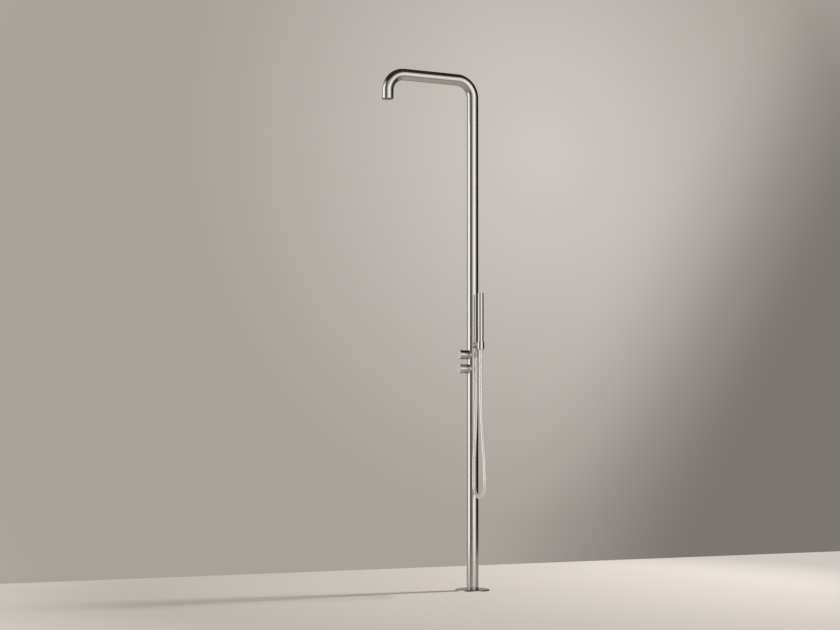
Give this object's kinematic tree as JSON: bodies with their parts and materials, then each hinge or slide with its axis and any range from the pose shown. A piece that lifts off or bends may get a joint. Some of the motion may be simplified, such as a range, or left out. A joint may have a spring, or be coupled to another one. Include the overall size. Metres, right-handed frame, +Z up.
{
  "type": "shower column",
  "caption": "Free-standing floor-fixed shower column: bent steel tube with a downturned spout, two round side controls, and a stick handset in a cup with its hose.",
  "frame": {"origin": "centre of the floor flange's underside, on the column's axis, at floor level", "axes": "+Z up along the column; -X towards the spout and the control knobs; -Y towards the handset"},
  "size_m": [0.498, 0.226, 2.2],
  "materials": {
    "satin_steel": "fine-brushed, satin-polished stainless steel",
    "polished_steel": "bright-polished stainless steel",
    "structural_steel": "plain machined stainless steel",
    "black_steel": "black oxide on small hex-socket screws",
    "brass": "machined brass",
    "copper_pipe": "drawn copper pipe",
    "white_acetal": "white moulded acetal",
    "black_nylon": "black glass-filled nylon",
    "grey_silicone": "grey moulded silicone",
    "black_rubber": "black EPDM rubber",
    "supply_braid": "rubber hose in a stainless braid",
    "silver_hose": "smooth silver PVC shower hose"
  },
  "bodies": {
    "column": {"column_tube": "satin_steel", "floor_flange": "structural_steel", "foot_spigot": "structural_steel", "foot_set_screws": "black_steel", "inlet_block": "brass", "check_valves": "white_acetal", "hot_supply_hose": "supply_braid", "cold_supply_hose": "supply_braid", "supply_ferrules": "structural_steel", "control_collars": "satin_steel", "mixer_body": "brass", "mixer_cartridge": "white_acetal", "mixer_bonnet": "brass", "link_nipple": "brass", "diverter_body": "brass", "diverter_cartridge": "white_acetal", "diverter_bonnet": "brass", "riser_pipe": "copper_pipe", "riser_spacers": "black_nylon", "spout_body": "white_acetal", "spout_seal": "black_rubber", "spray_plate": "satin_steel", "spray_nozzles": "grey_silicone", "holder_arm": "satin_steel", "holder_cup": "satin_steel", "hose_outlet_nipple": "satin_steel", "outlet_check_valve": "white_acetal", "hose_nut_column": "polished_steel", "shower_hose": "silver_hose"},
    "cover": {"floor_cover": "satin_steel"},
    "mixer_control": {"mixer_knob": "satin_steel", "mixer_knob_hub": "black_nylon", "mixer_stem": "structural_steel", "mixer_grub_screw": "black_steel"},
    "diverter_control": {"diverter_knob": "satin_steel", "diverter_knob_hub": "black_nylon", "diverter_stem": "structural_steel", "diverter_grub_screw": "black_steel"},
    "handset": {"handset_tube": "polished_steel", "handset_cap": "polished_steel", "handset_liner": "white_acetal", "handset_spray_strip": "grey_silicone", "handset_tail": "brass", "handset_washer": "black_rubber", "hose_nut_handset": "polished_steel"}
  },
  "joints": [
    {"name": "mixer_turn", "type": "hinge", "parent": "column", "child": "mixer_control", "pos_m": [-0.05, 0, 0.935], "axis": [-1, 0, 0], "range_deg": [0, 100]},
    {"name": "diverter_turn", "type": "hinge", "parent": "column", "child": "diverter_control", "pos_m": [-0.05, 0, 0.995], "axis": [-1, 0, 0], "range_deg": [0, 90]},
    {"name": "handset_lift", "type": "slide", "parent": "column", "child": "handset", "axis": [0, 0, 1], "range_m": [0, 0.05]},
    {"name": "cover_lift", "type": "slide", "parent": "column", "child": "cover", "axis": [0, 0, 1], "range_m": [0, 0.12]}
  ]
}
